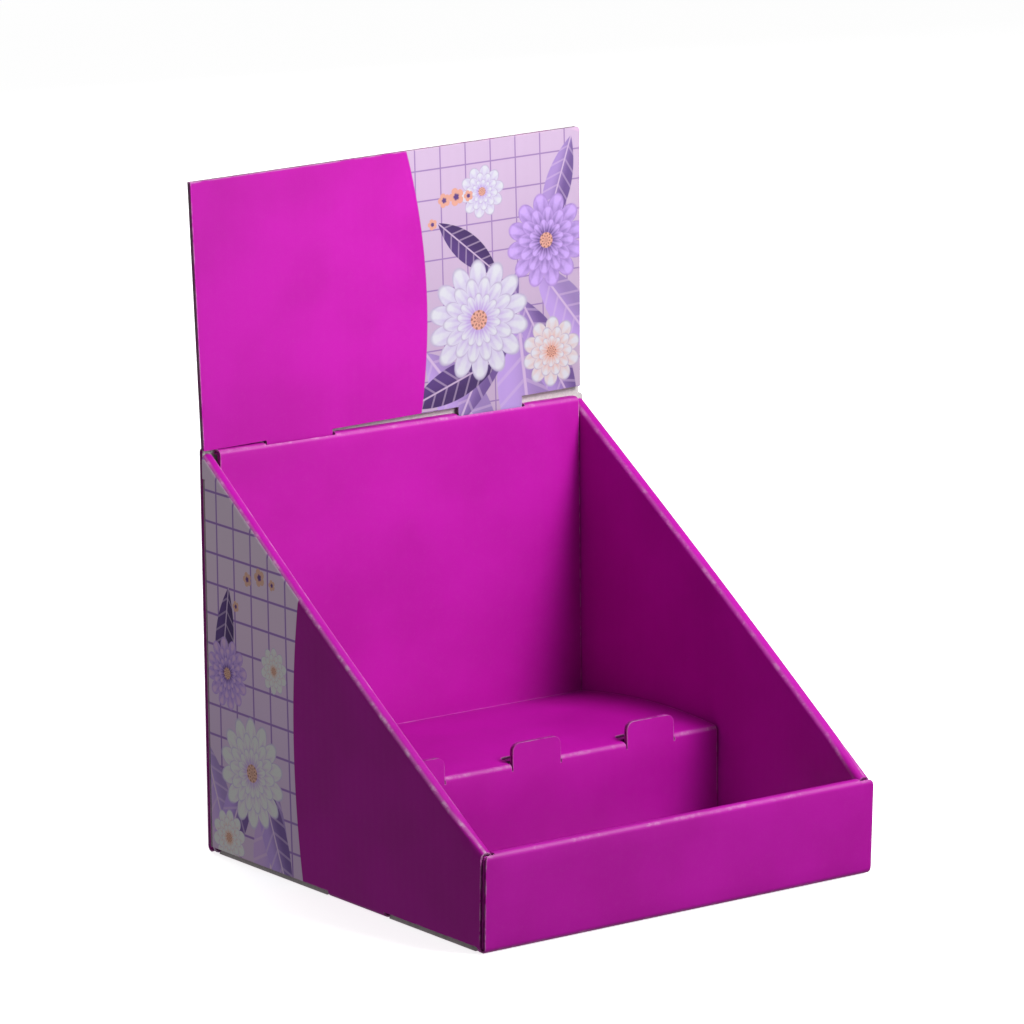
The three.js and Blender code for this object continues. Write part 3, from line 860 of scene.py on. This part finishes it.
        def place(u, v, depth):
            y, z, ny, nz = self.back_y - half, self.reach + v, 1, 0
            if v < 0:
                point, normal = self.corner(1 + v / arc)
                y, z, ny, nz = y + point.x, point.y + half, abs(normal.x), -abs(normal.y)
            return Vector((-u, y + ny * (half - depth), z + nz * (half - depth)))
        outline = rounded([
            (-BACK_EDGE, -arc, 0), (BACK_EDGE, -arc, 0), (BACK_EDGE, shoulder, 2.6 * MM),
            (BACK_RISER, shoulder, 0.6 * MM), (BACK_RISER, top, 2.6 * MM), (-BACK_RISER, top, 2.6 * MM),
            (-BACK_RISER, shoulder, 0.6 * MM), (-BACK_EDGE, shoulder, 2.6 * MM)])
        lines = lattice(even(-BACK_EDGE - MM, BACK_EDGE + MM, 10 * MM),
                        self.bend_rows + even(0, top, 10 * MM))
        self.sheet.panel(outline, place, lines, creases=lambda u, v: abs(v + arc / 2), joint=self.base_seam)

    def base(self):
        """The base is cut as seen from below, so v runs from the back to the front."""
        edge, notch = self.side_x - self.reach, self.inner_x - PLAY
        low, high = self.front_y + self.reach, self.back_y - self.reach
        right = [(x, self.front_y + y) for a, b in SIDE_SLOTS
                 for x, y in ((edge, a), (notch, a), (notch, b), (edge, b))]
        right = [p for p in right if low < p[1] < high]
        outline = [(-edge, low), (edge, low), *right, (edge, high), (-edge, high),
                   *[(-x, y) for x, y in reversed(right)]]
        near = self.front_y + self.s.roll - self.s.board - PLAY
        far = self.front_y + self.s.roll + PLAY
        wide = FRONT_TAB + PLAY
        holes = [[(m - wide, near), (m + wide, near), (m + wide, far), (m - wide, far)]
                 for m in reversed(FRONT_TABS)]
        outline, *holes = [[Vector((x, -y)) for x, y in reversed(loop)] for loop in (outline, *holes)]

        def joint(p, q):
            at_side = abs(p.x - q.x) < NEAR and abs(abs(p.x) - edge) < NEAR
            at_end = abs(p.y - q.y) < NEAR and min(abs(p.y + low), abs(p.y + high)) < NEAR
            return at_side or at_end
        lines = lattice(even(-edge - MM, edge + MM, 10 * MM), even(-high - MM, -low + MM, 10 * MM))
        self.sheet.panel(outline, lambda u, v, d: Vector((u, -v, d)), lines, holes, joint=joint)

    def make(self):
        self.base()
        self.front()
        self.back()
        self.side(1, self.s.right_bow, self.sheet)
        self.side(-1, self.s.left_bow, self.left)


# The stepped insert

class InsertMaker:
    def __init__(self, sizes):
        self.s = s = sizes
        self.sheet = Sheet(s.board)
        half = s.board / 2
        back_face = s.depth / 2 - s.board
        rear, face = back_face - SLIP, back_face - 2 * s.board - 0.8 * MM
        self.step_y = face - s.step_depth
        self.wide = s.width / 2 - s.roll - PLAY
        self.low = s.step_front - s.board - 0.8 * MM
        foot = s.board + SLIP + half
        front = (self.step_y + half, s.step_front - half)
        back = (face + half, s.step_back - half)
        arch = [(front[0] + (back[0] - front[0]) * t, front[1] + (back[1] - front[1]) * t
                 + 4 * s.step_arch * t * (1 - t)) for t in (k / 20 for k in range(1, 20))]
        self.line = FoldLine([(self.step_y + 26 * MM, foot), (front[0], foot), front, *arch, back,
                              (back[0], s.ledge - half), (rear, s.ledge - half)], s.bend)
        self.stops = [MIDDLE + k * s.stop_pitch for k in (-1, 0, 1)]

    def place(self, u, v, depth):
        point, normal = self.line.frame(v)
        at = point + normal * (self.s.board / 2 - depth)
        return Vector((u, at.x, at.y))

    def height_on_front(self, z):
        """Length along the fold line at height z on the step's front."""
        first_end = self.line.bends[0][1]
        return first_end + z - self.line.frame(first_end)[0].y

    def make(self):
        s, line, wide, gap = self.s, self.line, self.s.stop_width / 2, 0.6 * MM
        cut = self.height_on_front(self.low)
        crease = line.bends[1][1]
        reach = self.step_y + s.board / 2 + s.stop_height + gap - line.frame(crease)[0].x
        rear = crease + reach * 1.005
        holes = [rounded([
            (middle - wide - gap, cut, 0), (middle - wide, cut, 0), (middle + wide, cut, 0),
            (middle + wide + gap, cut, 0), (middle + wide + gap, rear, 5 * MM),
            (middle - wide - gap, rear, 5 * MM)]) for middle in self.stops]
        end = line.length
        notch = line.bends[3][0] + (line.bends[3][1] - line.bends[3][0]) * 0.5
        outline = [(-self.wide, 0, 0), (self.wide, 0, 0), (self.wide, end, 0)]
        for side in (1, -1):
            right, left = MIDDLE + side * HEADER_TABS + NOTCH_RIGHT, MIDDLE + side * HEADER_TABS - NOTCH_LEFT
            outline += [(right, end, 0), (right, notch, MM), (left, notch, MM), (left, end, 0)]
        outline = rounded([*outline, (-self.wide, end, 0)])
        vs = []
        straight = [0, *[v for bend in line.bends for v in bend], end]
        for a, b in zip(straight[::2], straight[1::2]):
            vs += even(a, b, 7 * MM)
        for a, b in line.bends:
            vs += [a + (b - a) * k / 8 for k in range(1, 8)]
        folds = [(a + b) / 2 for a, b in line.bends]

        def joint(p, q):
            return all(abs(at.y - cut) < NEAR
                       and min(abs(at.x - middle) for middle in self.stops) < wide + NEAR for at in (p, q))
        lines = lattice(even(-self.wide - MM, self.wide + MM, 8 * MM), sorted(vs))
        self.sheet.panel(outline, self.place, lines, holes,
                         creases=lambda u, v: min(abs(v - f) for f in folds), joint=joint)
        for middle in self.stops:
            self.stop(middle, wide)

    def stop(self, middle, wide):
        """A stop stands straight up from the step's front wall."""
        low, top = self.low, self.s.step_front + self.s.stop_height
        outline = rounded([(middle - wide, low, 0), (middle + wide, low, 0), (middle + wide, top, 5.2 * MM),
                           (middle - wide, top, 5.2 * MM)], 8)
        lines = lattice(even(middle - wide, middle + wide, 4 * MM), even(low, top, 3 * MM))
        self.sheet.panel(outline, lambda u, v, d: Vector((u, self.step_y + d, v)), lines,
                         joint=lambda p, q: max(p.y, q.y) < low + NEAR,
                         shift=Vector((0, self.height_on_front(0))))


# The header card

class HeaderMaker:
    def __init__(self, sizes):
        self.s = s = sizes
        self.sheet = Sheet(s.board)
        back_face = s.depth / 2 - s.board
        rear_face = back_face - s.board - 0.8 * MM
        insert_x = s.width / 2 - s.roll - PLAY
        lift = s.ledge + SLIP + math.tan(s.header_turn) * (insert_x + MIDDLE)
        middle_y = (rear_face + back_face) / 2 - math.tan(s.header_lean) * 9 * MM
        self.pose = (Matrix.Translation((MIDDLE, middle_y, lift)) @ Matrix.Rotation(s.header_lean, 4, "X")
                     @ Matrix.Rotation(-s.header_turn, 4, "Y"))

    def place(self, u, v, depth):
        return self.pose @ Vector((u, depth - self.s.board / 2, v))

    def make(self):
        s, deep = self.s, HEADER_TAB_DEPTH
        foot, top, height = s.header_foot / 2, s.header_top / 2, s.header_height
        tabs = [corner for middle in (-HEADER_TABS, HEADER_TABS) for corner in (
            (middle - HEADER_TAB, 0, 0.3 * MM), (middle - HEADER_TAB, -deep, 3 * MM),
            (middle + HEADER_TAB, -deep, 3 * MM), (middle + HEADER_TAB, 0, 0.3 * MM))]
        outline = rounded([(-foot, 0, 0.4 * MM), *tabs, (foot, 0, 0.4 * MM), (top, height, 2.3 * MM),
                           (-top, height, 0.4 * MM)])
        lines = lattice(even(-top - MM, top + MM, 9 * MM), even(-deep, height + MM, 9 * MM))
        self.sheet.panel(outline, self.place, lines)


# The wavy core that shows in the cut edges, made from the edges' lines

def flute_tree(name):
    """Geometry nodes: a wave along each edge line, given depth and thickness."""
    tree = bpy.data.node_groups.new(name, "GeometryNodeTree")
    for label, way, kind, default in (
            ("Edges", "INPUT", "Geometry", None), ("Pitch", "INPUT", "Float", 6.4 * MM),
            ("Amplitude", "INPUT", "Float", 0.9 * MM), ("Depth", "INPUT", "Float", 0.3 * MM),
            ("Paper", "INPUT", "Float", 0.22 * MM), ("Samples", "INPUT", "Int", 8),
            ("Material", "INPUT", "Material", None), ("Flutes", "OUTPUT", "Geometry", None)):
        socket = tree.interface.new_socket(name=label, in_out=way, socket_type="NodeSocket" + kind)
        if default is not None:
            socket.default_value = default
    graph = Graph(group=tree)
    add = graph.node
    group = tree.nodes.new("NodeGroupInput")
    edges, pitch, amplitude, depth, paper, samples, core = (
        Socket(graph, group.outputs[label])
        for label in ("Edges", "Pitch", "Amplitude", "Depth", "Paper", "Samples", "Material"))
    across, inward = (add("GeometryNodeInputNamedAttribute", {"data_type": "FLOAT_VECTOR"}, Name=label)
                      for label in ("across", "inward"))
    curves = add("GeometryNodeMeshToCurve", Mesh=edges)
    points = add("GeometryNodeResampleCurve", {"mode": "LENGTH"}, Curve=curves, Length=pitch / samples)
    swing = (add("GeometryNodeSplineParameter", out=1) / pitch * (2 * math.pi)).sine() * amplitude
    offset = add("ShaderNodeVectorMath", {"operation": "SCALE"}, across, Scale=swing)
    waved = add("GeometryNodeSetPosition", Geometry=points, Offset=offset)
    line = add("GeometryNodeCurveToMesh", Curve=waved)
    strip = add("GeometryNodeExtrudeMesh", {"mode": "EDGES"}, Mesh=line, Offset=inward, Offset_Scale=depth)
    skin = add("GeometryNodeExtrudeMesh", {"mode": "FACES"}, Mesh=strip, Offset=across, Offset_Scale=paper,
               Individual=False)
    both = tree.nodes.new("GeometryNodeJoinGeometry")
    for surface in (add("GeometryNodeFlipFaces", Mesh=strip), skin):
        graph.feed(both.inputs[0], surface)
    closed = add("GeometryNodeMergeByDistance", Geometry=Socket(graph, both.outputs[0]), Distance=0.01 * MM)
    real = add("GeometryNodeRealizeInstances", Geometry=closed)
    finished = add("GeometryNodeSetMaterial", Geometry=real, Material=core)
    graph.feed(tree.nodes.new("NodeGroupOutput").inputs[0], finished)
    return tree


def flutes(name, rims, sizes, core):
    """Runs the flute tree on the edge lines and keeps the result as a plain mesh."""
    rims = [rim for rim in rims
            if sum((b[0] - a[0]).length for a, b in zip(rim, rim[1:])) > sizes.flute_pitch]
    verts = [row for rim in rims for row in rim]
    edges, first = [], 0
    for rim in rims:
        edges += [(first + k, first + k + 1) for k in range(len(rim) - 1)]
        first += len(rim)
    mesh = bpy.data.meshes.new(name + "_lines")
    mesh.from_pydata([tuple(v[0]) for v in verts], edges, [])
    for label, index in (("across", 1), ("inward", 2)):
        attribute = mesh.attributes.new(label, "FLOAT_VECTOR", "POINT")
        attribute.data.foreach_set("vector", [x for v in verts for x in v[index]])
    lines = bpy.data.objects.new(name + "_lines", mesh)
    bpy.context.scene.collection.objects.link(lines)
    tree = bpy.data.node_groups.get("flutes_along_edges") or flute_tree("flutes_along_edges")
    modifier = lines.modifiers.new("flutes", "NODES")
    modifier.node_group = tree
    values = {"Pitch": sizes.flute_pitch, "Amplitude": sizes.board * 0.11, "Samples": sizes.flute_samples,
              "Material": core}
    for item in tree.interface.items_tree:
        if item.in_out == "INPUT" and item.name in values:
            modifier[item.identifier] = values[item.name]
    shown = lines.evaluated_get(bpy.context.evaluated_depsgraph_get())
    baked = bpy.data.meshes.new_from_object(shown)
    lines.modifiers.remove(modifier)
    bpy.data.objects.remove(lines)
    if not baked.polygons:
        raise RuntimeError("the flute tree made no faces for " + name)
    piece = bpy.data.objects.new(name, baked)
    bpy.context.scene.collection.objects.link(piece)
    return piece


# Operators

class CardPiece:
    """What the three operators of the card pieces share."""

    def fold(self, context, part, maker, boards, edge, core, node):
        """Builds the maker's sheets, and the core that shows in their cut edges."""
        maker.make()
        slot = part + "_board"
        backs = [material(plain_liner), material(edge)]
        for name, sheet, face in boards:
            take_part(sheet.build(name, [material(face), *backs]), node if name == slot else None)
        rims = [rim for _, sheet, _ in boards for rim in sheet.rims]
        take_part(flutes(part + "_flutes", rims, context.scene.box_sizes, material(core)))
        return {"FINISHED"}


class MakeTray(CardPiece, bpy.types.Operator):
    """Fold the tray: base, rolled front wall, two sloping rolled side walls and the back wall"""
    bl_idname = "display_box.make_tray"
    bl_label = "Make tray"

    def execute(self, context):
        maker = TrayMaker(context.scene.box_sizes)
        boards = (("tray_board", maker.sheet, magenta_print), ("tray_left_side", maker.left, left_side_print))
        return self.fold(context, "tray", maker, boards, pressed_edge, pressed_core, "display_tray")


class MakeInsert(CardPiece, bpy.types.Operator):
    """Fold the stepped insert: foot flap, step with three stops, inner back wall and ledge"""
    bl_idname = "display_box.make_insert"
    bl_label = "Make insert"

    def execute(self, context):
        maker = InsertMaker(context.scene.box_sizes)
        boards = (("insert_board", maker.sheet, magenta_print),)
        return self.fold(context, "insert", maker, boards, pressed_edge, pressed_core, "step_insert")


class MakeHeader(CardPiece, bpy.types.Operator):
    """Cut the header card and stand its two tabs in the ledge's notches"""
    bl_idname = "display_box.make_header"
    bl_label = "Make header card"

    def execute(self, context):
        maker = HeaderMaker(context.scene.box_sizes)
        boards = (("header_board", maker.sheet, header_print),)
        return self.fold(context, "header", maker, boards, cut_edge, fluted_core, "header_card")


class MakeStage(bpy.types.Operator):
    """Set the pale floor, the soft studio lights and the camera"""
    bl_idname = "display_box.make_stage"
    bl_label = "Make stage"

    def execute(self, context):
        scene = context.scene
        self.floor(scene)
        self.backdrop(scene)
        self.lights(scene)
        self.camera(scene)
        return {"FINISHED"}

    def floor(self, scene):
        """A pale sheet that curves up behind the box, a little below it so that the two don't coincide."""
        graph = Graph("pale_floor")
        cloud = graph.noise(graph.place(), 3.0)
        tone = scene.box_colours.floor
        base = graph.mix(cloud.ramp(0.3, 0.7), scaled(tone, 0.995), tone)
        ground = graph.surface(base, cloud * 0.05 + 0.85, cloud, 0.02, 0.0002, Emission_Color=(1, 1, 1, 1),
                               Emission_Strength=0.78)
        size, bend, height, depth, steps = 6.0, 1.2, 5.0, 3.0, 12
        curve = [(depth + bend * math.sin(a), bend * (1 - math.cos(a)))
                 for a in (math.pi / 2 * k / steps for k in range(steps + 1))]
        profile = [(-size, 0), *curve, (depth + bend, height)]
        verts = [(x, y, z - SLIP) for y, z in profile for x in (-size, size)]
        faces = [(2 * k, 2 * k + 1, 2 * k + 3, 2 * k + 2) for k in range(len(profile) - 1)]
        mesh = bpy.data.meshes.new("floor")
        mesh.from_pydata(verts, [], faces)
        mesh.polygons.foreach_set("use_smooth", [True] * len(faces))
        mesh.materials.append(ground)
        floor = bpy.data.objects.new("floor", mesh)
        scene.collection.objects.link(floor)
        floor.visible_diffuse = False
        floor.visible_glossy = False

    def backdrop(self, scene):
        """White where it is seen, and much dimmer as a light."""
        world = bpy.data.worlds.new("studio")
        world.use_nodes = True
        nodes, links = world.node_tree.nodes, world.node_tree.links
        soft, plain = nodes["Background"], nodes.new("ShaderNodeBackground")
        for background, strength in ((soft, 0.215), (plain, 1.0)):
            background.inputs["Color"].default_value = (1, 1, 1, 1)
            background.inputs["Strength"].default_value = strength
        seen = nodes.new("ShaderNodeMixShader")
        seen_from = nodes.new("ShaderNodeLightPath").outputs["Is Camera Ray"]
        for index, output in enumerate((seen_from, soft.outputs[0], plain.outputs[0])):
            links.new(output, seen.inputs[index])
        links.new(seen.outputs[0], nodes["World Output"].inputs["Surface"])
        scene.world = world

    def lamp(self, scene, name, kind, at, aim, **settings):
        data = bpy.data.lights.new(name, kind)
        for key, value in settings.items():
            setattr(data, key, value)
        light = bpy.data.objects.new(name, data)
        light.location = at
        light.rotation_mode = "QUATERNION"
        light.rotation_quaternion = (Vector(aim) - Vector(at)).to_track_quat("-Z", "Y")
        scene.collection.objects.link(light)

    def lights(self, scene):
        for name, at, size, power in (
                ("key", (0.36, -0.64, 0.92), 0.42, 12.4), ("low", (0.5, -1.6, 0.12), 0.5, 6.6),
                ("back", (0.5, 2.4, 1.1), 1.2, 24.0), ("side", (-2.4, -0.3, 1.2), 1.2, 1.5)):
            self.lamp(scene, name, "AREA", at, (0, 0, 0.16), shape="DISK", size=size, energy=power)
        self.lamp(scene, "header_spot", "SPOT", (0.25, -0.9, 0.75), (0, 0.12, 0.31), energy=23.0,
                  spot_size=math.radians(23), spot_blend=0.9, shadow_soft_size=0.15)
        scene.view_settings.view_transform = "Standard"

    def camera(self, scene):
        """The photo's camera, fitted to the box's corners."""
        azimuth, elevation, roll = (math.radians(a) for a in (-35.673, 12.1005, -0.6402))
        way = Vector((-math.sin(azimuth) * math.cos(elevation), math.cos(azimuth) * math.cos(elevation),
                      -math.sin(elevation)))
        right = Vector((math.cos(azimuth), math.sin(azimuth), 0))
        up = right.cross(way)
        turned = right * math.cos(roll) + up * math.sin(roll)
        raised = up * math.cos(roll) - right * math.sin(roll)
        data = bpy.data.cameras.new("photo_camera")
        data.sensor_width, data.lens = 36, 214.32
        data.clip_start, data.clip_end = 0.1, 50
        camera = bpy.data.objects.new("photo_camera", data)
        camera.rotation_mode = "QUATERNION"
        camera.rotation_quaternion = Matrix((turned, raised, -way)).transposed().to_quaternion()
        camera.location = (-1.825983, -2.525585, 0.857726)
        scene.collection.objects.link(camera)
        scene.camera = camera


class DisplayBoxPanel(bpy.types.Panel):
    bl_idname = "VIEW3D_PT_display_box"
    bl_label = "Counter display box"
    bl_space_type = "VIEW_3D"
    bl_region_type = "UI"
    bl_category = "Display Box"

    def draw(self, context):
        layout = self.layout
        for group in (context.scene.box_sizes, context.scene.box_colours):
            column = layout.column(align=True)
            for name in group.__annotations__:
                column.prop(group, name)
        for maker in MAKERS:
            layout.operator(maker.bl_idname)


MAKERS = (MakeTray, MakeInsert, MakeHeader, MakeStage)
CLASSES = (BoxSizes, BoxColours, *MAKERS, DisplayBoxPanel)


def register():
    for cls in CLASSES:
        bpy.utils.register_class(cls)
    bpy.types.Scene.box_sizes = PointerProperty(type=BoxSizes)
    bpy.types.Scene.box_colours = PointerProperty(type=BoxColours)


def unregister():
    del bpy.types.Scene.box_colours
    del bpy.types.Scene.box_sizes
    for cls in reversed(CLASSES):
        bpy.utils.unregister_class(cls)


def main():
    register()
    for maker in MAKERS:
        group, name = maker.bl_idname.split(".")
        getattr(getattr(bpy.ops, group), name)()


if __name__ == "__main__":
    main()
